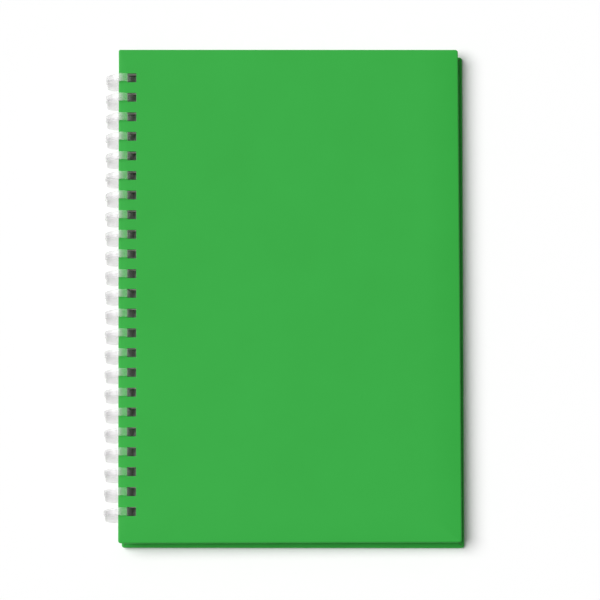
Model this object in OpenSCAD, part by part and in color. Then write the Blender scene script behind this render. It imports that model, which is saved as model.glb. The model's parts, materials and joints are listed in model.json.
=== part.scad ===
// Hardcover notebook held by a clear plastic comb through a row of square holes.
// It lies closed, front cover up. X runs from the comb to the fore edge, Y up the page, Z up.
// The origin is under the middle of the whole book, on the table.

/* [Covers] */
// Width of each cover, from spine edge to fore edge
cover_w = 146; // [100:1:200]
// Height of each cover, along the spine
cover_h = 212; // [140:1:300]
// Thickness of the greyboard inside each cover
board_t = 1.4; // [1:0.1:1.8]
// Thickness of the green covering paper
wrap_t = 0.2; // [0.16:0.02:0.3]
// Radius of each cover's four corners, seen from above
corner_r = 1.2; // [0.8:0.1:4]
// Radius of the covering paper where it folds round the board's edge
edge_r = 0.4; // [0.25:0.05:0.5]
// Width of covering paper that is turned in and glued inside the cover
turn_in = 15; // [10:1:20]
// Slit left between two turn-ins at each mitred corner
mitre_gap = 0.3; // [0.2:0.05:0.5]
// Thickness of the white lining paper
lining_t = 0.2; // [0.12:0.02:0.3]
// Border of green turn-in left bare round the lining
lining_inset = 3; // [2:0.5:6]

/* [Pages] */
// Thickness of all the pages together
block_t = 4.8; // [3:0.2:6]
// How far the pages stop short of the front cover at head, tail and fore edge
page_recess = 3; // [1:0.5:6]
// Distance from the comb's centre line to the pages' spine edge
page_set_back = 0.2; // [0.1:0.05:0.6]

/* [Holes] */
// Distance between neighbouring holes
hole_pitch = 8.467; // [7.5:0.001:9.5]
// Side of each square hole
hole_side = 3.8; // [3.7:0.05:4.2]
// Least distance from a cover's head or tail to the centre of the last hole there
end_margin = 12; // [8:0.5:16]
// How far the row of holes sits above the middle of the cover
row_rise = 0.6; // [0:0.1:1.5]
// Distance from the front cover's spine edge to its holes
hole_margin = 3.75; // [3.4:0.05:4.4]
// How far the pages' holes lie behind the front cover's
page_hole_slip = 0.05; // [0:0.05:0.2]
// How far the back cover's holes lie behind the front cover's
back_hole_slip = 0.25; // [0.15:0.05:0.4]

/* [Comb] */
// Thickness of the comb's plastic sheet
sheet_t = 0.5; // [0.3:0.05:0.6]
// Distance from the front cover's spine edge in to the comb's centre line
ring_set_in = 0.4; // [0.2:0.05:0.6]
// Clearance inside the fingers when the covers turn
ring_clear = 0.25; // [0.2:0.05:0.5]
// Width of a finger at the bulge, left of the covers
finger_w = 3.36; // [2.6:0.02:3.4]
// Width of a finger where it comes down through the back cover
finger_end_w = 2.96; // [2.2:0.02:3.2]
// How far a finger's upper edge sweeps towards the tail as it rounds the bulge
finger_sweep = 1.4; // [0:0.1:1.6]
// Radius of the bend from the bulge into the flat root
root_bend_r = 1.6; // [1.2:0.1:2]
// Distance from a finger's centre line down to the lower edge of its root
root_drop = 4.2; // [2.5:0.1:4.6]
// Radius of the bend from the end of a finger into its tucked tip
tip_bend_r = 1.5; // [1.2:0.1:1.8]
// Corner cut off each side of a finger's tip
tip_cut = 0.6; // [0.3:0.1:1]
// Width of the strip that carries the fingers
strip_w = 3.6; // [3:0.1:5]
// Length of strip past the last finger at each end
strip_end = 0.8; // [0.4:0.1:3]
// Gap over and under the tucked tips
tip_gap = 0.1; // [0.05:0.05:0.2]

/* [Lie of the covers] */
// Turn of the front cover on the stack, its head to the left
front_skew = 0.22; // [0:0.02:0.26]
// How far the back cover sits out at the fore edge
back_slip = 1.8; // [1.1:0.1:2]
// How far the back cover sits down at the tail
back_drop = 1.6; // [0:0.1:2]

/* [Hidden] */
$fn = 96;

// A cover from its inner face: lining, turned-in paper, board, paper.
cover_t = lining_t + wrap_t + board_t + wrap_t;
stack_half = block_t / 2 + cover_t;
// The lining is pressed down to the board inside the turn-ins, over this width of step.
lining_step = 2 * lining_t;
fit_gap = 0.1;
past = 1;

hole_count = floor((cover_h - 2 * end_margin) / hole_pitch) + 1;
row_len = (hole_count - 1) * hole_pitch;

// The comb is drawn round its centre line, at x = 0 and z = 0.
spine_x = -ring_set_in;
hole_x = hole_margin - ring_set_in;
skew_shift = row_len / 2 * sin(front_skew);
ring_in_r = norm([hole_x + skew_shift, stack_half]) + ring_clear;
ring_out_r = ring_in_r + sheet_t;
ring_mid_r = (ring_in_r + ring_out_r) / 2;
tip_z = -stack_half - tip_gap - sheet_t / 2;
strip_z = tip_z - tip_gap - sheet_t;
ring_h = sheet_t / 2 - strip_z;

// The bend at the root touches the bulge's straight side and the strip.
root_bend_x = root_bend_r - ring_mid_r;
root_bend_z = strip_z + root_bend_r;
// The root may widen only below an opened cover.
root_top_z = -stack_half - 0.3;
root_full_x = spine_x - 1.5;
// A power below 1 makes the root's rounded corner fuller than a quarter of an ellipse.
root_square = 0.6;

// The bend at the tip touches the ring from inside.
tip_bend_z = tip_z + tip_bend_r;
tip_bend_x = sqrt(pow(ring_mid_r - tip_bend_r, 2) - pow(tip_bend_z, 2));
tip_angle = atan2(tip_bend_z, tip_bend_x);
tip_x = spine_x + back_slip - fit_gap;

// The back cover leans on its fore edge, and all that lies on it leans with it.
back_x = spine_x + back_slip;
back_end_x = back_x + cover_w - edge_r;
back_low_z = stack_half - edge_r;
lean = asin((ring_h - edge_r) / norm([back_end_x, back_low_z])) - atan2(back_low_z, back_end_x);

// Where the whole book reaches, so that the origin lies under its middle.
reach_right = (back_x + cover_w) * cos(lean) - (block_t / 2 + edge_r) * sin(lean);
skew_x = hole_x + hole_side / 2;
reach_head = (cover_h / 2 - row_rise) * cos(front_skew) + (spine_x + cover_w - skew_x) * sin(front_skew);
reach_tail = -cover_h / 2 - row_rise - back_drop;
origin_x = -(reach_right - ring_out_r) / 2;
origin_y = -(reach_head + reach_tail) / 2;

module round_rect(w, h, r) {
    square([w - 2 * r, h], center = true);
    square([w, h - 2 * r], center = true);
    for (x = [-1, 1], y = [-1, 1])
        translate([x * (w / 2 - r), y * (h / 2 - r)]) circle(r);
}

// A plate with soft edges: its outline cut by a side profile both ways.
module soft_plate(w, h, t, r, edge) {
    intersection() {
        linear_extrude(t) round_rect(w, h, r);
        translate([0, h / 2 + past, t / 2]) rotate([90, 0, 0])
            linear_extrude(h + 2 * past) round_rect(w, t, edge);
        translate([-w / 2 - past, 0, t / 2]) rotate([90, 0, 90])
            linear_extrude(w + 2 * past) round_rect(h, t, edge);
    }
}

// A plain plate that lies the given distance inside the cover's outline.
module inner_plate(inset, z, t, r = 0) {
    translate([0, 0, z])
        linear_extrude(t)
            if (r > 0) round_rect(cover_w - 2 * inset, cover_h - 2 * inset, r);
            else square([cover_w - 2 * inset, cover_h - 2 * inset], center = true);
}

// The row of punched holes, from the near side x, through everything.
module hole_row(x) {
    translate([0, 0, -stack_half - past])
        linear_extrude(2 * (stack_half + past))
            for (k = [0 : hole_count - 1])
                translate([x, k * hole_pitch - row_len / 2 - hole_side / 2]) square(hole_side);
}

// Cover pieces are drawn with the inner face at z = 0 and the outline's centre at the origin.
module wrap_sheet() {
    difference() {
        translate([0, 0, lining_t]) soft_plate(cover_w, cover_h, cover_t - lining_t, corner_r, edge_r);
        inner_plate(wrap_t, lining_t + wrap_t, board_t, corner_r - wrap_t);
        inner_plate(turn_in, 0, lining_t + wrap_t + fit_gap);
        for (x = [-1, 1], y = [-1, 1])
            translate([x * (cover_w / 2 - turn_in), y * (cover_h / 2 - turn_in), 0])
                rotate([0, 0, atan2(y, x)])
                    translate([-past, -mitre_gap / 2, 0])
                        cube([(turn_in - corner_r) * sqrt(2) + past, mitre_gap, lining_t + wrap_t]);
    }
}

module board_sheet() {
    inner_plate(wrap_t, lining_t + wrap_t, board_t, corner_r - wrap_t);
}

module lining_sheet() {
    difference() {
        inner_plate(lining_inset, 0, lining_t + wrap_t);
        difference() {
            inner_plate(lining_inset - past, lining_t, wrap_t + past);
            inner_plate(turn_in + fit_gap, 0, lining_t + wrap_t + 2 * past);
        }
        inner_plate(turn_in + fit_gap + lining_step, -past, wrap_t + past);
    }
}

// Places: the comb's centre line, then the stack that leans about it.
module at_comb() {
    translate([origin_x, origin_y, ring_h]) children();
}

module at_stack() {
    at_comb() rotate([0, lean, 0]) children();
}

module front_place() {
    at_stack()
        translate([skew_x, 0, 0]) rotate([0, 0, front_skew]) translate([-skew_x, 0, 0])
            difference() {
                translate([spine_x + cover_w / 2, -row_rise, block_t / 2]) children();
                hole_row(hole_x);
            }
}

module back_place() {
    at_stack()
        difference() {
            translate([back_x + cover_w / 2, -row_rise - back_drop, -block_t / 2])
                mirror([0, 0, 1]) children();
            hole_row(hole_x + back_hole_slip);
        }
}

// A stretch of the comb's section: the plastic sheet bent round a point.
module bend(x, z, r, from, to) {
    step = (to - from) / 3;
    reach = 2 * (r + sheet_t);
    translate([x, z])
        intersection() {
            difference() {
                circle(r + sheet_t / 2);
                circle(r - sheet_t / 2);
            }
            polygon([[0, 0], for (k = [0 : 3]) reach * [cos(from + k * step), sin(from + k * step)]]);
        }
}

// A straight stretch of the section, between two points of its middle line.
module level(x1, x2, z) {
    translate([x1, z - sheet_t / 2]) square([x2 - x1, sheet_t]);
}

// The section carried along the comb, wide enough for one finger.
module along_comb() {
    translate([0, hole_pitch, 0]) rotate([90, 0, 0]) linear_extrude(2 * hole_pitch) children();
}

// Seen from above, a finger narrows to its end, and its upper edge sweeps down round the bulge.
module finger_plan() {
    polygon([
        [-ring_out_r - past, -finger_w / 2], [ring_out_r + past, -finger_end_w / 2],
        [ring_out_r + past, finger_end_w / 2],
        for (a = [0 : 15 : 90]) [-ring_out_r * sin(a), finger_w / 2 - finger_sweep * a / 90],
        [-ring_out_r - past, finger_w / 2 - finger_sweep]
    ]);
}

// The root goes on from the finger's upper edge, and rounds out below it, towards the tail.
module root_plan() {
    wide = ring_out_r + root_full_x;
    drop = root_drop - finger_w / 2;
    polygon([
        for (a = [0 : 15 : 90])
            [root_full_x - wide * pow(cos(a), root_square), -finger_w / 2 - drop * pow(sin(a), root_square)],
        [spine_x + sheet_t, -root_drop], [spine_x + sheet_t, finger_end_w / 2],
        [root_full_x, finger_end_w / 2], [-ring_out_r, finger_w / 2 - finger_sweep]
    ]);
}

// The tucked tip has its two corners cut off.
module tip_plan() {
    half = finger_end_w / 2;
    polygon([
        [tip_bend_x, -half], [tip_bend_x, half], [tip_x + tip_cut, half],
        [tip_x, half - tip_cut], [tip_x, tip_cut - half], [tip_x + tip_cut, -half]
    ]);
}

module finger_block() {
    translate([0, 0, -2 * ring_out_r]) linear_extrude(4 * ring_out_r) finger_plan();
}

module root_block() {
    translate([0, 0, -2 * ring_out_r]) linear_extrude(root_top_z + 2 * ring_out_r) root_plan();
}

// One finger, its centre line at y = 0: ring, bulge, root bend, root, tip bend and tip.
module finger() {
    intersection() {
        along_comb() bend(0, 0, ring_mid_r, tip_angle, 180);
        finger_block();
    }
    intersection() {
        along_comb() translate([-ring_out_r, root_bend_z]) square([sheet_t, -root_bend_z]);
        finger_block();
    }
    intersection() {
        along_comb() bend(root_bend_x, root_bend_z, root_bend_r, 180, 270);
        union() {
            finger_block();
            root_block();
        }
    }
    intersection() {
        along_comb() level(root_bend_x, spine_x + sheet_t, strip_z);
        root_block();
    }
    intersection() {
        along_comb() bend(tip_bend_x, tip_bend_z, tip_bend_r, -90, tip_angle);
        finger_block();
    }
    translate([0, 0, tip_z - sheet_t / 2]) linear_extrude(sheet_t) tip_plan();
}

module binding_comb() {
    color([0.93, 0.95, 0.94, 0.5]) at_comb() {
        for (k = [0 : hole_count - 1])
            translate([0, k * hole_pitch - row_len / 2, 0]) finger();
        translate([spine_x, -row_len / 2 - root_drop - strip_end, strip_z - sheet_t / 2])
            cube([strip_w, row_len + root_drop + finger_end_w / 2 + 2 * strip_end, sheet_t]);
    }
}

module back_wrap() {
    color("#3fae4b") back_place() wrap_sheet();
}

module back_board() {
    color("#a39a8c") back_place() board_sheet();
}

module back_lining() {
    color("#f2f1ec") back_place() lining_sheet();
}

module page_block() {
    w = spine_x + cover_w - page_recess - page_set_back;
    h = cover_h - 2 * page_recess;
    color("#f7f6f1") at_stack() difference() {
        translate([page_set_back, -row_rise - h / 2, -block_t / 2]) cube([w, h, block_t]);
        hole_row(hole_x + page_hole_slip);
    }
}

module front_lining() {
    color("#f2f1ec") front_place() lining_sheet();
}

module front_board() {
    color("#a39a8c") front_place() board_sheet();
}

module front_wrap() {
    color("#3fae4b") front_place() wrap_sheet();
}

binding_comb();
back_wrap();
back_board();
back_lining();
page_block();
front_lining();
front_board();
front_wrap();
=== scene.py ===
import json
import math
import bmesh
import bpy
from mathutils import Matrix, Vector


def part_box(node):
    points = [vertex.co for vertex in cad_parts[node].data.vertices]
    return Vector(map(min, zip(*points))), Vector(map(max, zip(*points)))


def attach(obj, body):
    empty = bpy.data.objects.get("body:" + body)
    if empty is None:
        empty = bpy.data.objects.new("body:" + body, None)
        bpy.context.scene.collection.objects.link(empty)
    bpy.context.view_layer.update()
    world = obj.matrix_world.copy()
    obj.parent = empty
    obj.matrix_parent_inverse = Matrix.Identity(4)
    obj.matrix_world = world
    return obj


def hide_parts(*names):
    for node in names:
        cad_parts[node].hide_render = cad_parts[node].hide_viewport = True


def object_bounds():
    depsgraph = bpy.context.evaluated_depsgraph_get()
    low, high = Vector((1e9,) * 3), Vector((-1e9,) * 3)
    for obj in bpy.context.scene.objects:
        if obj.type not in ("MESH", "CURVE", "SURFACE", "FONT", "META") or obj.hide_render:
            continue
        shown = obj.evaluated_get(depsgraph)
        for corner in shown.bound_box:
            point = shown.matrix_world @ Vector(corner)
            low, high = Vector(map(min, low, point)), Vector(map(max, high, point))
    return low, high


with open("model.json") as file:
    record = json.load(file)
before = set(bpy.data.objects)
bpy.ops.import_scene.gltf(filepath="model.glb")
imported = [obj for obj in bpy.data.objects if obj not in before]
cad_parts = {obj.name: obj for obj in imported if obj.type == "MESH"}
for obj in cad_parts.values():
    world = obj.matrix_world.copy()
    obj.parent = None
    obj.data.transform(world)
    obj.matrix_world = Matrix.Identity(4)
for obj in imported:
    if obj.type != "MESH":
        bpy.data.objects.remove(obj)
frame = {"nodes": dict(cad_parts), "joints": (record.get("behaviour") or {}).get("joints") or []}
cad_low, cad_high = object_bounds()

# Greyboards, one in each cover. Each is a stiff grey sheet pressed from waste paper, cut to size
# and glued inside its covering paper. Only the walls of the punched holes show it.
MM = 0.001
BOARD_THICK = 1.4
BOARD_GREY = "#625b53"
BOARD_FLECK = "#443e38"
FIBRE_LENGTH, CUT_DEPTH = 1.2, 0.1


def linear(code):
    """A colour written as sRGB hex, in linear light."""
    parts = [int(code[i:i + 2], 16) / 255 for i in (1, 3, 5)]
    return [c / 12.92 if c <= 0.04045 else ((c + 0.055) / 1.055) ** 2.4 for c in parts] + [1.0]


def add_node(material, kind, settings=None, **links):
    """Adds a node, sets its properties and fills inputs, named or as i with a number, by value or link."""
    node = material.node_tree.nodes.new(kind)
    for key, value in (settings or {}).items():
        setattr(node, key, value)
    for key, value in links.items():
        by_number = key[0] == "i" and key[1:].isdigit()
        socket = node.inputs[int(key[1:]) if by_number else key.replace("_", " ")]
        if isinstance(value, bpy.types.NodeSocket):
            material.node_tree.links.new(value, socket)
        else:
            socket.default_value = value
    return node


def empty_material(name):
    material = bpy.data.materials.new(name)
    material.use_nodes = True
    material.node_tree.nodes.clear()
    return material


def dress(piece, material):
    """Gives every face of a piece this material."""
    piece.data.materials.clear()
    piece.data.materials.append(material)


# Greyboard, pressed and die cut: a dull grey-brown with darker flecks, and no shine.
greyboard = empty_material("greyboard_die_cut")
place = add_node(greyboard, "ShaderNodeTexCoord")
flecks = add_node(greyboard, "ShaderNodeTexNoise", Vector=place.outputs["Object"], Scale=1 / (FIBRE_LENGTH * MM),
                  Detail=5.0, Roughness=0.7)
tone = add_node(greyboard, "ShaderNodeMix", {"data_type": "RGBA"}, Factor=flecks.outputs["Fac"],
                i6=linear(BOARD_GREY), i7=linear(BOARD_FLECK))
rough_cut = add_node(greyboard, "ShaderNodeBump", Height=flecks.outputs["Fac"], Distance=CUT_DEPTH * MM, Strength=0.6)
board_skin = add_node(greyboard, "ShaderNodeBsdfPrincipled", Base_Color=tone.outputs["Result"],
                      Normal=rough_cut.outputs["Normal"], Roughness=0.9)
add_node(greyboard, "ShaderNodeOutputMaterial", Surface=board_skin.outputs["BSDF"])
for name in ("front_board", "back_board"):
    dress(frame["nodes"][name], greyboard)

# Covering papers, front and back. Each is one sheet of green coated paper, glued over its board,
# folded round the four edges and turned in, with mitred corners, then punched with the board.
# The front one is drawn tighter round its corner at the head of the spine.
COVER_W, COVER_H = 146.0, 212.0
PAPER_THICK = 0.2
LINING_THICK = 0.2
COVER_THICK = LINING_THICK + 2 * PAPER_THICK + BOARD_THICK
CORNER_R, TIGHT_R, FOLD_R, SEAT_R = 1.2, 0.7, 0.65, 0.4
TURN_IN, MITRE_GAP = 15.0, 0.25
BLOCK_THICK = 4.8
HOLE, PITCH, HOLES = 3.8, 8.467, 23
ROW_LENGTH = (HOLES - 1) * PITCH
HOLE_MARGIN, RING_SET_IN, ROW_RISE = 3.75, 0.4, 0.6
BACK_SLIP, BACK_DROP, BACK_HOLE_SLIP = 1.8, 1.6, 0.25
FRONT_SKEW = math.radians(0.22)
CORNER_STEPS, FOLD_STEPS, SHARP_ANGLE = 8, 5, 35
WELD, NEAR = 0.0005, 0.01
MITRE_REACH = 1.45 * TURN_IN
COVER_GREEN = "#2ea53d"
COVER_SHADE = "#2ca13a"
PAPER_GRAIN, GRAIN_SHARE, TOOTH_DEPTH = 0.45, 0.35, 0.02
MOTTLE = 22.0

# The stack is drawn in millimetres about the comb's centre line, then leans about that line.
joint = next(j for j in frame["joints"] if j["name"] == "page_turn")
ring_x, _, ring_z = joint["pos_m"]
page_low, page_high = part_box("page_block")
row_y = (page_low[1] + page_high[1]) / 2 + ROW_RISE * MM
spine_x = -RING_SET_IN
hole_x = HOLE_MARGIN - RING_SET_IN
skew_x = hole_x + HOLE / 2
fore_end = spine_x + BACK_SLIP + COVER_W - SEAT_R
low_side = BLOCK_THICK / 2 + COVER_THICK - SEAT_R
lean = (math.asin((ring_z / MM - SEAT_R) / math.hypot(fore_end, low_side))
        - math.atan2(low_side, fore_end))
at_comb = Matrix.Translation((ring_x, row_y, ring_z)) @ Matrix.Scale(MM, 4)
at_stack = at_comb @ Matrix.Rotation(lean, 4, "Y")
skew = (Matrix.Translation((skew_x, 0, 0)) @ Matrix.Rotation(FRONT_SKEW, 4, "Z")
        @ Matrix.Translation((-skew_x, 0, 0)))


def object_from(bm, name):
    """Turns a bmesh into an object at the origin."""
    mesh = bpy.data.meshes.new(name)
    bm.to_mesh(mesh)
    bm.free()
    piece = bpy.data.objects.new(name, mesh)
    bpy.context.scene.collection.objects.link(piece)
    return piece


def settle(piece, matrix):
    """Applies the piece's modifiers, puts its place into its mesh and smooths its rounded edges."""
    evaluated = piece.evaluated_get(bpy.context.evaluated_depsgraph_get())
    mesh = bpy.data.meshes.new_from_object(evaluated)
    piece.modifiers.clear()
    piece.data = mesh
    bm = bmesh.new()
    bm.from_mesh(mesh)
    bmesh.ops.remove_doubles(bm, verts=bm.verts, dist=WELD)
    bmesh.ops.recalc_face_normals(bm, faces=bm.faces)
    bm.transform(matrix)
    if matrix.determinant() < 0:
        bmesh.ops.reverse_faces(bm, faces=bm.faces)
    for face in bm.faces:
        face.smooth = True
    bm.to_mesh(mesh)
    bm.free()
    mesh.set_sharp_from_angle(angle=math.radians(SHARP_ANGLE))


def hole_centres():
    return [k * PITCH - ROW_LENGTH / 2 for k in range(HOLES)]


def punched(x, y, near, centres):
    """True inside one of the square holes."""
    return near < x < near + HOLE and any(abs(y - c) < HOLE / 2 for c in centres)


def cut_lines(low, high, inner):
    return sorted({low, high} | {v for v in inner if low < v < high})


def middle(a, b):
    return (a + b) / 2


def wrapped_paper(name, near, centre_y, tight_head=False):
    """The paper's outer surface in the cover's own frame: spine edge at x = 0, lining side at z = 0."""
    half = COVER_H / 2
    centres = [c - centre_y for c in hole_centres()]
    xs = cut_lines(0, COVER_W, [near, near + HOLE, TURN_IN, COVER_W - TURN_IN])
    hole_sides = [c + s * HOLE / 2 for c in centres for s in (-1, 1)]
    ys = cut_lines(-half, half, hole_sides + [TURN_IN - half, half - TURN_IN])
    levels = (LINING_THICK, COVER_THICK)
    bm = bmesh.new()
    grid = {(x, y, z): bm.verts.new((x, y, z)) for x in xs for y in ys for z in levels}
    for x1, x2 in zip(xs, xs[1:]):
        for y1, y2 in zip(ys, ys[1:]):
            x, y = middle(x1, x2), middle(y1, y2)
            if punched(x, y, near, centres):
                continue
            corners = ((x1, y1), (x2, y1), (x2, y2), (x1, y2))
            bm.faces.new([grid[(*c, levels[1])] for c in corners])
            if x < TURN_IN or x > COVER_W - TURN_IN or abs(y) > half - TURN_IN:
                bm.faces.new([grid[(*c, levels[0])] for c in reversed(corners)])
    for a, b, turn in ((0, 0, 1), (COVER_W, 1, -1)):
        for y1, y2 in zip(ys, ys[1:]):
            ring = [(a, y1, levels[0]), (a, y1, levels[1]), (a, y2, levels[1]), (a, y2, levels[0])]
            bm.faces.new([grid[p] for p in ring[::turn]])
    for a, turn in ((-half, -1), (half, 1)):
        for x1, x2 in zip(xs, xs[1:]):
            ring = [(x1, a, levels[0]), (x1, a, levels[1]), (x2, a, levels[1]), (x2, a, levels[0])]
            bm.faces.new([grid[p] for p in ring[::turn]])
    bmesh.ops.delete(bm, geom=[v for v in bm.verts if not v.link_faces], context="VERTS")
    bmesh.ops.recalc_face_normals(bm, faces=bm.faces)
    uprights = [e for e in bm.edges if len(e.link_faces) == 2
                and abs(e.verts[0].co.z - e.verts[1].co.z) > 1 and e.calc_face_angle() > 1]
    tight = [e for e in uprights if tight_head and e.verts[0].co.x < 1 and e.verts[0].co.y > 0]
    loose = [e for e in uprights if e not in tight]
    for edges, radius in ((loose, CORNER_R), (tight, TIGHT_R)):
        bmesh.ops.bevel(bm, geom=edges, offset=radius, segments=CORNER_STEPS, profile=0.5, affect="EDGES")
    folds = [e for e in bm.edges if len(e.link_faces) == 2 and e.calc_face_angle() > 1
             and abs(e.verts[0].co.z - e.verts[1].co.z) < 0.1]
    bmesh.ops.bevel(bm, geom=folds, offset=FOLD_R, segments=FOLD_STEPS, profile=0.5, affect="EDGES")
    open_mitres(bm, half)
    return object_from(bm, name)


def glued_faces(bm):
    """The faces of the turned-in paper that are glued down, each with its centre."""
    return [(f, f.calc_center_median()) for f in bm.faces
            if f.normal.z < -0.9 and f.calc_center_median().z < LINING_THICK + NEAR]


def open_mitres(bm, half):
    """Cuts the slit between two turn-ins at each corner, on the side that is glued down."""
    for cx, sx in ((0, 1), (COVER_W, -1)):
        for cy, sy in ((-half, 1), (half, -1)):
            across = Vector((sy, -sx, 0)).normalized()
            corner = Vector((cx, cy, LINING_THICK))
            for side in (-1, 1):
                near = [f for f, c in glued_faces(bm) if abs(c.x - cx) < TURN_IN and abs(c.y - cy) < TURN_IN]
                parts = near + list({e for f in near for e in f.edges}) + list({v for f in near for v in f.verts})
                cut_at = corner + across * side * MITRE_GAP / 2
                bmesh.ops.bisect_plane(bm, geom=parts, plane_co=cut_at, plane_no=across)
            slit = [f for f, c in glued_faces(bm) if abs((c - corner).dot(across)) < MITRE_GAP / 2 - NEAR
                    and (c - corner).length < MITRE_REACH]
            bmesh.ops.delete(bm, geom=slit, context="FACES")


# Coated book paper, pressed smooth: an even mid green, a soft matte sheen and a faint, fine grain.
# The grain is drawn coarser than the real one, so that it shows at all.
green_paper = empty_material("green_coated_paper")
place = add_node(green_paper, "ShaderNodeTexCoord")
cloud = add_node(green_paper, "ShaderNodeTexNoise", Vector=place.outputs["Object"], Scale=1 / (MOTTLE * MM),
                 Detail=3.0)
grain = add_node(green_paper, "ShaderNodeTexNoise", Vector=place.outputs["Object"], Scale=1 / (PAPER_GRAIN * MM),
                 Detail=4.0, Roughness=0.65)
blend_in = add_node(green_paper, "ShaderNodeMath", {"operation": "MULTIPLY_ADD"}, i0=grain.outputs["Fac"],
                    i1=GRAIN_SHARE, i2=cloud.outputs["Fac"])
amount = add_node(green_paper, "ShaderNodeMapRange", Value=blend_in.outputs["Value"], From_Min=GRAIN_SHARE,
                  From_Max=1.0)
green = add_node(green_paper, "ShaderNodeMix", {"data_type": "RGBA"}, Factor=amount.outputs["Result"],
                 i6=linear(COVER_GREEN), i7=linear(COVER_SHADE))
sheen = add_node(green_paper, "ShaderNodeMapRange", Value=grain.outputs["Fac"], To_Min=0.5, To_Max=0.62)
tooth = add_node(green_paper, "ShaderNodeBump", Height=grain.outputs["Fac"], Distance=TOOTH_DEPTH * MM, Strength=0.35)
paper_skin = add_node(green_paper, "ShaderNodeBsdfPrincipled", Base_Color=green.outputs["Result"],
                      Roughness=sheen.outputs["Result"], Normal=tooth.outputs["Normal"])
paper_skin.inputs["IOR"].default_value = 1.45
paper_skin.inputs["Specular IOR Level"].default_value = 0.25
add_node(green_paper, "ShaderNodeOutputMaterial", Surface=paper_skin.outputs["BSDF"])

inner_z = BLOCK_THICK / 2
front_paper = wrapped_paper("front_paper", HOLE_MARGIN, -ROW_RISE, tight_head=True)
back_near = hole_x + BACK_HOLE_SLIP - spine_x - BACK_SLIP
back_paper = wrapped_paper("back_paper", back_near, -ROW_RISE - BACK_DROP)
front_place = at_stack @ skew @ Matrix.Translation((spine_x, -ROW_RISE, inner_z))
back_place = (at_stack @ Matrix.Translation((spine_x + BACK_SLIP, -ROW_RISE - BACK_DROP, -inner_z))
              @ Matrix.Scale(-1, 4, (0, 0, 1)))
for paper, place_it, node, body in ((front_paper, front_place, "front_wrap", "front"),
                                    (back_paper, back_place, "back_wrap", "back")):
    thick = paper.modifiers.new("paper_thickness", "SOLIDIFY")
    thick.thickness = PAPER_THICK
    thick.offset = -1
    thick.use_even_offset = True
    settle(paper, place_it)
    dress(paper, green_paper)
    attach(paper, body)
    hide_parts(node)

# Linings, one inside each cover. Each is a sheet of white uncoated paper, glued over the turn-ins
# and pressed down to the board between them, so that the turn-ins show through as a low step.
LINING_WHITE = "#f1efe9"
LINING_SHADE = "#e6e3da"
FIBRE_GRAIN, FELT_DEPTH = 0.6, 0.02

# Uncoated paper, calendered: a warm white, fully matte, with a soft fibrous cloudiness.
white_paper = empty_material("white_uncoated_paper")
place = add_node(white_paper, "ShaderNodeTexCoord")
fibre = add_node(white_paper, "ShaderNodeTexNoise", Vector=place.outputs["Object"], Scale=1 / (FIBRE_GRAIN * MM),
                 Detail=5.0, Roughness=0.7)
white = add_node(white_paper, "ShaderNodeMix", {"data_type": "RGBA"}, Factor=fibre.outputs["Fac"],
                 i6=linear(LINING_WHITE), i7=linear(LINING_SHADE))
felt = add_node(white_paper, "ShaderNodeBump", Height=fibre.outputs["Fac"], Distance=FELT_DEPTH * MM, Strength=0.4)
lining_skin = add_node(white_paper, "ShaderNodeBsdfPrincipled", Base_Color=white.outputs["Result"], Roughness=0.85,
                       Normal=felt.outputs["Normal"])
add_node(white_paper, "ShaderNodeOutputMaterial", Surface=lining_skin.outputs["BSDF"])
for name in ("front_lining", "back_lining"):
    dress(frame["nodes"][name], white_paper)

# Pages: loose sheets of white writing paper, cut together in a guillotine and punched a few at a
# time, so that their edges lie a hair apart. They are blank, and the comb alone holds them.
SHEETS = 48
PAGE_RECESS, PAGE_SET_BACK, PAGE_HOLE_SLIP = 3.0, 0.2, 0.05
SHEET_GAP, SHEET_SLACK, JOG_SEED = 0.012, 0.12, 7
PAGE_WHITE = "#f4f2ec"
# Painted shade for the sheets' upright edges, a paler and a deeper grey.
EDGE_SHADE_PALE, EDGE_SHADE_DEEP = "#e3e0d9", "#bbb7ad"
EDGE_RUN = 60
page_w = spine_x + COVER_W - PAGE_RECESS - PAGE_SET_BACK
page_h = COVER_H - 2 * PAGE_RECESS
sheet_thick = BLOCK_THICK / SHEETS


def one_sheet():
    """A single punched sheet, its lower face at z = 0, in the stack's own frame."""
    near = hole_x + PAGE_HOLE_SLIP
    centres = hole_centres()
    low, high = -ROW_RISE - page_h / 2 + SHEET_SLACK, -ROW_RISE + page_h / 2 - SHEET_SLACK
    xs = [PAGE_SET_BACK + SHEET_SLACK, near, near + HOLE, PAGE_SET_BACK + page_w - SHEET_SLACK]
    ys = cut_lines(low, high, [c + s * HOLE / 2 for c in centres for s in (-1, 1)])
    bm = bmesh.new()
    grid = {(x, y): bm.verts.new((x, y, 0)) for x in xs for y in ys}
    for x1, x2 in zip(xs, xs[1:]):
        for y1, y2 in zip(ys, ys[1:]):
            if not punched(middle(x1, x2), middle(y1, y2), near, centres):
                bm.faces.new([grid[(x1, y1)], grid[(x2, y1)], grid[(x2, y2)], grid[(x1, y2)]])
    top = bmesh.ops.extrude_face_region(bm, geom=list(bm.faces))
    raised = [v for v in top["geom"] if isinstance(v, bmesh.types.BMVert)]
    bmesh.ops.translate(bm, vec=(0, 0, sheet_thick - SHEET_GAP), verts=raised)
    bmesh.ops.recalc_face_normals(bm, faces=bm.faces)
    return object_from(bm, "page_sheets")


def tree_with(name, inputs):
    """A geometry node tree with a geometry input and output and these named inputs."""
    tree = bpy.data.node_groups.new(name, "GeometryNodeTree")
    tree.interface.new_socket("Geometry", in_out="INPUT", socket_type="NodeSocketGeometry")
    for label, kind in inputs.items():
        tree.interface.new_socket(label, in_out="INPUT", socket_type=kind)
    tree.interface.new_socket("Geometry", in_out="OUTPUT", socket_type="NodeSocketGeometry")
    return tree, tree.nodes.new("NodeGroupInput"), tree.nodes.new("NodeGroupOutput")


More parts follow.
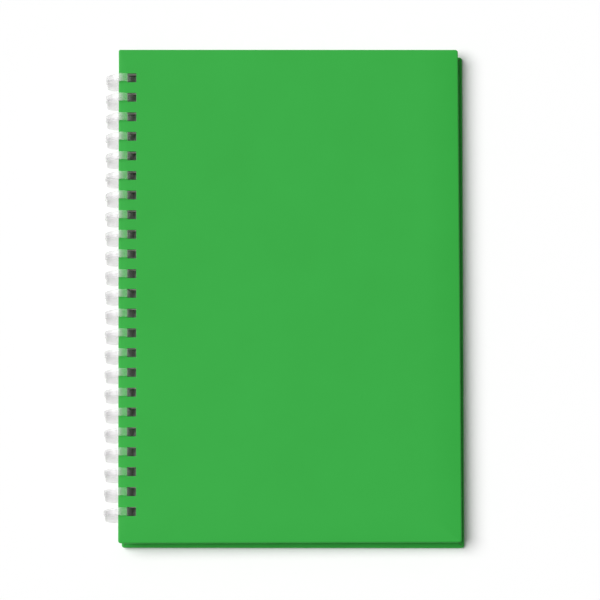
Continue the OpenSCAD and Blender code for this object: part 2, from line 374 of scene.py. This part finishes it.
def use_tree(piece, tree, values):
    """Adds the tree to a piece and sets its named inputs by their sockets' identifiers."""
    modifier = piece.modifiers.new(tree.name, "NODES")
    modifier.node_group = tree
    for item in tree.interface.items_tree:
        if item.in_out == "INPUT" and item.name in values:
            modifier[item.identifier] = values[item.name]


# Uncoated writing paper, guillotined: matte white faces, and painted shade on the upright edges, in stripes one to a
# sheet, for the gaps between sheets.
writing_paper = empty_material("white_writing_paper")
place = add_node(writing_paper, "ShaderNodeTexCoord")
shape = add_node(writing_paper, "ShaderNodeNewGeometry")
up = add_node(writing_paper, "ShaderNodeSeparateXYZ", Vector=shape.outputs["Normal"])
flat = add_node(writing_paper, "ShaderNodeMath", {"operation": "ABSOLUTE"}, i0=up.outputs["Z"])
stretched = add_node(writing_paper, "ShaderNodeMapping", Vector=place.outputs["Object"])
stretched.inputs["Scale"].default_value = (EDGE_RUN, EDGE_RUN, 1 / (sheet_thick * MM))
# Painted shade on the upright edges: grey stripes, one to a sheet, for the gaps between sheets; the faces keep the
# paper's white.
sheet_gap_shade = add_node(writing_paper, "ShaderNodeTexNoise", Vector=stretched.outputs["Vector"], Scale=1.0, Detail=2.0)
pulp = add_node(writing_paper, "ShaderNodeTexNoise", Vector=place.outputs["Object"], Scale=1 / (FIBRE_GRAIN * MM),
                Detail=4.0, Roughness=0.7)
edge_painted_shade = add_node(writing_paper, "ShaderNodeMix", {"data_type": "RGBA"}, Factor=sheet_gap_shade.outputs["Fac"],
                     i6=linear(EDGE_SHADE_PALE), i7=linear(EDGE_SHADE_DEEP))
face_tone = add_node(writing_paper, "ShaderNodeMix", {"data_type": "RGBA"}, Factor=pulp.outputs["Fac"],
                     i6=linear(PAGE_WHITE), i7=linear(LINING_WHITE))
page_tone = add_node(writing_paper, "ShaderNodeMix", {"data_type": "RGBA"}, Factor=flat.outputs["Value"],
                     i6=edge_painted_shade.outputs["Result"], i7=face_tone.outputs["Result"])
pulp_bump = add_node(writing_paper, "ShaderNodeBump", Height=pulp.outputs["Fac"], Distance=FELT_DEPTH * MM,
                     Strength=0.3)
page_skin = add_node(writing_paper, "ShaderNodeBsdfPrincipled", Base_Color=page_tone.outputs["Result"], Roughness=0.8,
                     Normal=pulp_bump.outputs["Normal"])
add_node(writing_paper, "ShaderNodeOutputMaterial", Surface=page_skin.outputs["BSDF"])

stacker, given, made = tree_with("stack_of_sheets", {
    "Sheets": "NodeSocketInt", "Spacing": "NodeSocketFloat", "Slack": "NodeSocketFloat",
    "Base": "NodeSocketFloat", "Material": "NodeSocketMaterial"})
line = stacker.nodes.new("GeometryNodeMeshLine")
start = stacker.nodes.new("ShaderNodeCombineXYZ")
stride = stacker.nodes.new("ShaderNodeCombineXYZ")
jog = stacker.nodes.new("FunctionNodeRandomValue")
jog.data_type = "FLOAT_VECTOR"
jog.inputs["Seed"].default_value = JOG_SEED
least = stacker.nodes.new("ShaderNodeVectorMath")
least.operation = "SCALE"
least.inputs[0].default_value = (-1, -1, 0)
most = stacker.nodes.new("ShaderNodeVectorMath")
most.operation = "SCALE"
most.inputs[0].default_value = (1, 1, 0)
shift = stacker.nodes.new("GeometryNodeSetPosition")
copies = stacker.nodes.new("GeometryNodeInstanceOnPoints")
real = stacker.nodes.new("GeometryNodeRealizeInstances")
paint = stacker.nodes.new("GeometryNodeSetMaterial")
for a, b in (
    (given.outputs["Sheets"], line.inputs["Count"]), (given.outputs["Base"], start.inputs["Z"]),
    (start.outputs["Vector"], line.inputs["Start Location"]), (given.outputs["Spacing"], stride.inputs["Z"]),
    (stride.outputs["Vector"], line.inputs["Offset"]), (given.outputs["Slack"], least.inputs["Scale"]),
    (given.outputs["Slack"], most.inputs["Scale"]), (least.outputs["Vector"], jog.inputs["Min"]),
    (most.outputs["Vector"], jog.inputs["Max"]), (line.outputs["Mesh"], shift.inputs["Geometry"]),
    (jog.outputs["Value"], shift.inputs["Offset"]), (shift.outputs["Geometry"], copies.inputs["Points"]),
    (given.outputs["Geometry"], copies.inputs["Instance"]), (copies.outputs["Instances"], real.inputs["Geometry"]),
    (real.outputs["Geometry"], paint.inputs["Geometry"]), (given.outputs["Material"], paint.inputs["Material"]),
    (paint.outputs["Geometry"], made.inputs["Geometry"]),
):
    stacker.links.new(a, b)

sheets = one_sheet()
use_tree(sheets, stacker, {"Sheets": SHEETS, "Spacing": sheet_thick, "Slack": SHEET_SLACK, "Base": -BLOCK_THICK / 2,
                           "Material": writing_paper})
settle(sheets, at_stack @ skew)
dress(sheets, writing_paper)
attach(sheets, "pages")
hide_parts("page_block")

# Comb: one piece of clear rigid vinyl sheet, cut into a strip with fingers and heat-curled, so that
# each finger springs round from the strip, over the spine edge, down the holes and in over the strip.
SHEET = 0.5
RING_CLEAR = 0.25
FINGER_W, FINGER_END_W, FINGER_SWEEP = 3.36, 2.96, 1.4
ROOT_BEND_R, ROOT_DROP, ROOT_SQUARE = 1.6, 4.2, 0.6
ROOT_FULL, ROOT_CLEAR, SHOULDER = 1.5, 0.3, 0.35
STRIP_END = 0.8
TIP_BEND_R, TIP_CUT, TIP_GAP, TIP_CLEAR = 1.5, 0.6, 0.1, 0.1
STRIP_W = 3.6
EDGE_ROUND, EDGE_STEPS, EDGE_ANGLE = 0.09, 2, 50
ARC_STEP, ROOT_STEP, TIP_STEP = 5, 3, 15
STRIP_PARTS, WALL_PARTS, TIP_PARTS, FINGER_COLUMNS = 9, 6, 4, 4
FINGER_JOIN = 0.002
stack_half = BLOCK_THICK / 2 + COVER_THICK
ring_r = math.hypot(hole_x + ROW_LENGTH / 2 * math.sin(FRONT_SKEW), stack_half) + RING_CLEAR + SHEET / 2
ring_out = ring_r + SHEET / 2
tip_z = -stack_half - TIP_GAP - SHEET / 2
strip_z = tip_z - TIP_GAP - SHEET
tip_x = spine_x + BACK_SLIP - TIP_CLEAR
tip_bend_z = tip_z + TIP_BEND_R
tip_bend_x = math.sqrt((ring_r - TIP_BEND_R) ** 2 - tip_bend_z ** 2)
tip_angle = math.degrees(math.atan2(tip_bend_z, tip_bend_x))
root_full_x = spine_x - ROOT_FULL
root_top_z = -stack_half - ROOT_CLEAR
root_bend_x = ROOT_BEND_R - ring_r


def finger_edges(x):
    """Seen from above: where a finger's lower and upper edges lie, its upper one swept down round the bulge."""
    taper = (FINGER_W - FINGER_END_W) / 2 / (ring_out + 1)
    low = (x * taper - FINGER_W / 2) if x > 0 else -FINGER_W / 2
    swept = FINGER_SWEEP * math.asin(min(1, max(0, -x / ring_r))) / (math.pi / 2)
    return low, FINGER_W / 2 - max(0, x) * taper - swept


def root_edges(x, z):
    """The same for the root, which rounds out towards the tail once it is below an opened cover."""
    wide = ring_out + root_full_x
    outward = min(1, max(0, (root_full_x - x) / wide)) ** (1 / ROOT_SQUARE)
    drop = (ROOT_DROP - FINGER_W / 2) * math.sqrt(1 - outward ** 2) ** ROOT_SQUARE
    opened = min(1, max(0, (root_top_z - z) / SHOULDER))
    upper = FINGER_W / 2 - FINGER_SWEEP
    return (-FINGER_W / 2 - drop * math.sqrt(1 - (1 - opened) ** 2),
            upper + (FINGER_END_W / 2 - upper) * min(1, (x + ring_out) / wide))


def tip_edges(x):
    """The same for the tucked tip, whose corners are rounded."""
    inward = max(0, (tip_x + TIP_CUT - x) / TIP_CUT)
    half = FINGER_END_W / 2 - TIP_CUT * (1 - math.sqrt(max(0, 1 - inward ** 2)))
    return -half, half


def arc(x, z, r, begin, end, step=ARC_STEP):
    """Points of the comb's middle line along an arc, in degrees."""
    steps = round(abs(end - begin) / step)
    turns = [math.radians(begin + (end - begin) * k / steps) for k in range(steps + 1)]
    return [(x + r * math.cos(t), z + r * math.sin(t)) for t in turns]


def straight(x1, z1, x2, z2, steps):
    """Points between two ends of a straight length of the middle line, the ends left out."""
    return [(x1 + (x2 - x1) * k / steps, z1 + (z2 - z1) * k / steps) for k in range(1, steps)]


def finger_rows():
    """Across each point of a finger's middle line: x, z, lower edge and upper edge, from strip to tip."""
    root_bend_z = strip_z + ROOT_BEND_R
    root = [(spine_x, strip_z)] + straight(spine_x, strip_z, root_bend_x, strip_z, STRIP_PARTS)
    root += arc(root_bend_x, root_bend_z, ROOT_BEND_R, 270, 180, ROOT_STEP)
    ring = straight(-ring_r, root_bend_z, -ring_r, 0, WALL_PARTS) + arc(0, 0, ring_r, 180, tip_angle)
    ring += arc(tip_bend_x, tip_bend_z, TIP_BEND_R, tip_angle, -90)[1:]
    tip = straight(tip_bend_x, tip_z, tip_x + TIP_CUT, tip_z, TIP_PARTS)
    tip += [(tip_x + TIP_CUT * (1 - math.sin(math.radians(a))), tip_z) for a in range(0, 91, TIP_STEP)]
    rows = [(x, z, *(root_edges(x, z) if z < root_top_z else finger_edges(x))) for x, z in root]
    return rows + [(x, z, *finger_edges(x)) for x, z in ring] + [(x, z, *tip_edges(x)) for x, z in tip]


def one_finger():
    """One pitch of the comb as a surface: a length of strip with its finger."""
    bm = bmesh.new()
    rows = [[bm.verts.new((x, low + (high - low) * c / FINGER_COLUMNS, z)) for c in range(FINGER_COLUMNS + 1)]
            for x, z, low, high in finger_rows()]
    for a, b in zip(rows, rows[1:]):
        for c in range(FINGER_COLUMNS):
            bm.faces.new((a[c], a[c + 1], b[c + 1], b[c]))
    middle_y = (FINGER_END_W / 2 - ROOT_DROP) / 2
    below, above = middle_y - PITCH / 2, middle_y + PITCH / 2
    near = [bm.verts.new((spine_x, below, strip_z))] + rows[0] + [bm.verts.new((spine_x, above, strip_z))]
    far = [bm.verts.new((spine_x + STRIP_W, v.co.y, strip_z)) for v in near]
    for c in range(len(near) - 1):
        bm.faces.new((near[c + 1], near[c], far[c], far[c + 1]))
    bmesh.ops.recalc_face_normals(bm, faces=bm.faces)
    return object_from(bm, "comb")


# Clear rigid vinyl, calendered and heat-formed: colourless with a satin gloss and faint dimples from
# forming. Painted shade greys it on the half of the ring away from the holes, more towards the top, and
# along its rim, for the dark that refraction and the shadow on the table give there. A white haze over
# the outer half of the bend is partly the sheet's own haze and mostly a painted highlight for the lamp's
# reflection. Where the fingers go down the holes, their gloss is cut to a twentieth: painted shade there.
CLEAR_TINT, LOW_SHADE_TINT, HIGH_SHADE_TINT, RIM_SHADE_TINT = "#ffffff", "#f7f6f7", "#e8e7e8", "#dddddd"
HOLE_SIDE_HIGHLIGHT, BEND_HIGHLIGHT = 0.0, 0.11
HEAD_ON, HOLE_GLOSS_LEFT, RIM_POWER = 0.06, 0.05, 5.0
SHADE_HEIGHTS, SHADE_SIDE, HIGHLIGHT_SPAN, HOLE_SHADE_SPAN = (-3, 5), (0, -0.8), (1.8, -0.2), (3.4, 6.0)
DIMPLE, DIMPLE_DEPTH = 2.6, 0.05


def fade(axis, centre, reach, first=0.0, last=1.0):
    """Goes from first to last over this reach, two distances in mm from the comb's centre line."""
    return add_node(clear_vinyl, "ShaderNodeMapRange", Value=where.outputs[axis], From_Min=centre + reach[0] * MM,
                    From_Max=centre + reach[1] * MM, To_Min=first, To_Max=last).outputs["Result"]


clear_vinyl = empty_material("clear_vinyl_heat_formed")
place = add_node(clear_vinyl, "ShaderNodeTexCoord")
ripple = add_node(clear_vinyl, "ShaderNodeTexNoise", Vector=place.outputs["Object"], Scale=1 / (DIMPLE * MM),
                  Detail=2.0)
dimples = add_node(clear_vinyl, "ShaderNodeBump", Height=ripple.outputs["Fac"], Distance=DIMPLE_DEPTH * MM,
                   Strength=0.5)
where = add_node(clear_vinyl, "ShaderNodeSeparateXYZ", Vector=place.outputs["Object"])
# Painted shade: the half of the ring away from the holes is greyed, more towards its top.
grey = add_node(clear_vinyl, "ShaderNodeMix", {"data_type": "RGBA"}, Factor=fade("Z", ring_z, SHADE_HEIGHTS),
                i6=linear(LOW_SHADE_TINT), i7=linear(HIGH_SHADE_TINT))
body = add_node(clear_vinyl, "ShaderNodeMix", {"data_type": "RGBA"}, Factor=fade("X", ring_x, SHADE_SIDE),
                i6=linear(CLEAR_TINT), i7=grey.outputs["Result"])
# Painted shade along the rim: the sheet darkens where it is seen edge on.
rim = add_node(clear_vinyl, "ShaderNodeLayerWeight", Blend=0.5)
steep = add_node(clear_vinyl, "ShaderNodeMath", {"operation": "POWER"}, i0=rim.outputs["Facing"], i1=RIM_POWER)
rim_shaded_tint = add_node(clear_vinyl, "ShaderNodeMix", {"data_type": "RGBA"}, Factor=steep.outputs["Value"],
                i6=body.outputs["Result"], i7=linear(RIM_SHADE_TINT))
through = add_node(clear_vinyl, "ShaderNodeBsdfTransparent", Color=rim_shaded_tint.outputs["Result"])
# Painted highlight, partly the sheet's own haze: a lit white mixed in over the outer half of the bend, fading out
# towards the holes.
highlight_haze = add_node(clear_vinyl, "ShaderNodeBsdfPrincipled", Base_Color=linear(CLEAR_TINT), Roughness=0.3)
with_highlight = add_node(clear_vinyl, "ShaderNodeMixShader", Fac=fade("X", ring_x, HIGHLIGHT_SPAN, HOLE_SIDE_HIGHLIGHT, BEND_HIGHLIGHT),
                i1=through.outputs["BSDF"], i2=highlight_haze.outputs["BSDF"])
shine = add_node(clear_vinyl, "ShaderNodeBsdfAnisotropic", Color=(1, 1, 1, 1), Roughness=0.5,
                 Normal=dimples.outputs["Normal"])
gloss = add_node(clear_vinyl, "ShaderNodeMapRange", Value=steep.outputs["Value"], To_Min=HEAD_ON, To_Max=1.0)
# Painted shade in the holes: the gloss falls to a twentieth where the fingers go down them.
hole_shaded_gloss = add_node(clear_vinyl, "ShaderNodeMath", {"operation": "MULTIPLY"}, i0=gloss.outputs["Result"],
                      i1=fade("X", ring_x, HOLE_SHADE_SPAN, 1.0, HOLE_GLOSS_LEFT))
vinyl = add_node(clear_vinyl, "ShaderNodeMixShader", Fac=hole_shaded_gloss.outputs["Value"], i1=with_highlight.outputs["Shader"],
                 i2=shine.outputs["BSDF"])
add_node(clear_vinyl, "ShaderNodeOutputMaterial", Surface=vinyl.outputs["Shader"])

repeater, given, made = tree_with("row_of_fingers", {
    "Fingers": "NodeSocketInt", "Pitch": "NodeSocketFloat", "First": "NodeSocketFloat",
    "Low End": "NodeSocketFloat", "High End": "NodeSocketFloat", "Material": "NodeSocketMaterial"})
line = repeater.nodes.new("GeometryNodeMeshLine")
start = repeater.nodes.new("ShaderNodeCombineXYZ")
stride = repeater.nodes.new("ShaderNodeCombineXYZ")
copies = repeater.nodes.new("GeometryNodeInstanceOnPoints")
real = repeater.nodes.new("GeometryNodeRealizeInstances")
weld = repeater.nodes.new("GeometryNodeMergeByDistance")
weld.inputs["Distance"].default_value = FINGER_JOIN
place = repeater.nodes.new("GeometryNodeInputPosition")
parts = repeater.nodes.new("ShaderNodeSeparateXYZ")
clip = repeater.nodes.new("ShaderNodeClamp")
trimmed = repeater.nodes.new("ShaderNodeCombineXYZ")
trim = repeater.nodes.new("GeometryNodeSetPosition")
paint = repeater.nodes.new("GeometryNodeSetMaterial")
for a, b in (
    (given.outputs["Fingers"], line.inputs["Count"]), (given.outputs["First"], start.inputs["Y"]),
    (start.outputs["Vector"], line.inputs["Start Location"]), (given.outputs["Pitch"], stride.inputs["Y"]),
    (stride.outputs["Vector"], line.inputs["Offset"]), (line.outputs["Mesh"], copies.inputs["Points"]),
    (given.outputs["Geometry"], copies.inputs["Instance"]), (copies.outputs["Instances"], real.inputs["Geometry"]),
    (real.outputs["Geometry"], weld.inputs["Geometry"]), (weld.outputs["Geometry"], trim.inputs["Geometry"]),
    (place.outputs["Position"], parts.inputs["Vector"]), (parts.outputs["Y"], clip.inputs["Value"]),
    (given.outputs["Low End"], clip.inputs["Min"]), (given.outputs["High End"], clip.inputs["Max"]),
    (parts.outputs["X"], trimmed.inputs["X"]), (clip.outputs["Result"], trimmed.inputs["Y"]),
    (parts.outputs["Z"], trimmed.inputs["Z"]), (trimmed.outputs["Vector"], trim.inputs["Position"]),
    (trim.outputs["Geometry"], paint.inputs["Geometry"]), (given.outputs["Material"], paint.inputs["Material"]),
    (paint.outputs["Geometry"], made.inputs["Geometry"]),
):
    repeater.links.new(a, b)

comb = one_finger()
use_tree(comb, repeater, {
    "Fingers": HOLES, "Pitch": PITCH, "First": -ROW_LENGTH / 2, "Low End": -ROW_LENGTH / 2 - ROOT_DROP - STRIP_END,
    "High End": ROW_LENGTH / 2 + FINGER_END_W / 2 + STRIP_END, "Material": clear_vinyl})
vinyl_sheet = comb.modifiers.new("sheet_thickness", "SOLIDIFY")
vinyl_sheet.thickness = SHEET
vinyl_sheet.offset = 0
vinyl_sheet.use_even_offset = True
soft_edges = comb.modifiers.new("soft_edges", "BEVEL")
soft_edges.width = EDGE_ROUND
soft_edges.segments = EDGE_STEPS
soft_edges.limit_method = "ANGLE"
soft_edges.angle_limit = math.radians(EDGE_ANGLE)
settle(comb, at_comb)
dress(comb, clear_vinyl)
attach(comb, "back")
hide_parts("binding_comb")

# Table, light and camera. The table is a plain white sweep, the light is one broad lamp from the
# upper left with a soft white surround, and the camera looks down from a little below the tail.
TABLE_WHITE = "#fbfbfb"
TABLE_SIZE, TABLE_GAP = 6.0, 0.02
LAMP_AZIMUTH, LAMP_HEIGHT, LAMP_SPREAD = 162, 56, 45
LAMP_POWER, SURROUND = 3.28, 0.17
CAMERA_PLACE = (-0.01575, -0.16975, 1.5985)
CAMERA_TURN = (6.041, -0.812, 0.01)
FOCAL_PIXELS, FRAME_PIXELS, SENSOR, SEEN_FROM, SEEN_TO = 3740, 600, 36, 0.05, 20

# Matt white board, sprayed: fully diffuse, so it shows the camera a clean white and a soft shadow.
table_top = empty_material("white_sweep_matt")
matt = add_node(table_top, "ShaderNodeBsdfDiffuse", Color=linear(TABLE_WHITE))
add_node(table_top, "ShaderNodeOutputMaterial", Surface=matt.outputs["BSDF"])
bm = bmesh.new()
bmesh.ops.create_grid(bm, x_segments=1, y_segments=1, size=TABLE_SIZE)
bmesh.ops.translate(bm, vec=(0, 0, cad_low[2] - TABLE_GAP * MM), verts=bm.verts)
table = object_from(bm, "table")
dress(table, table_top)

world = bpy.data.worlds.new("studio")
bpy.context.scene.world = world
world.use_nodes = True
world.node_tree.nodes.clear()
ray = add_node(world, "ShaderNodeLightPath")
seen = add_node(world, "ShaderNodeMath", {"operation": "MAXIMUM"}, i0=ray.outputs["Is Camera Ray"],
                i1=ray.outputs["Is Glossy Ray"])
seen_all = add_node(world, "ShaderNodeMath", {"operation": "MAXIMUM"}, i0=seen.outputs["Value"],
                    i1=ray.outputs["Is Transmission Ray"])
level = add_node(world, "ShaderNodeMapRange", Value=seen_all.outputs["Value"], To_Min=SURROUND, To_Max=1.0)
air = add_node(world, "ShaderNodeBackground", Color=(1, 1, 1, 1), Strength=level.outputs["Result"])
add_node(world, "ShaderNodeOutputWorld", Surface=air.outputs["Background"])

lamp = bpy.data.lights.new("broad_lamp", "SUN")
lamp.energy = LAMP_POWER
lamp.angle = math.radians(LAMP_SPREAD)
lamp_at = bpy.data.objects.new("broad_lamp", lamp)
bpy.context.scene.collection.objects.link(lamp_at)
azimuth, height = math.radians(LAMP_AZIMUTH), math.radians(LAMP_HEIGHT)
toward = Vector((math.cos(azimuth) * math.cos(height), math.sin(azimuth) * math.cos(height), math.sin(height)))
lamp_at.rotation_euler = toward.to_track_quat("Z", "Y").to_euler()

camera = bpy.data.cameras.new("camera")
camera.sensor_width = SENSOR
camera.lens = FOCAL_PIXELS / FRAME_PIXELS * camera.sensor_width
camera.clip_start, camera.clip_end = SEEN_FROM, SEEN_TO
camera_at = bpy.data.objects.new("camera", camera)
bpy.context.scene.collection.objects.link(camera_at)
camera_at.location = CAMERA_PLACE
camera_at.rotation_euler = [math.radians(a) for a in CAMERA_TURN]
bpy.context.scene.camera = camera_at
bpy.context.scene.view_settings.view_transform = "Standard"
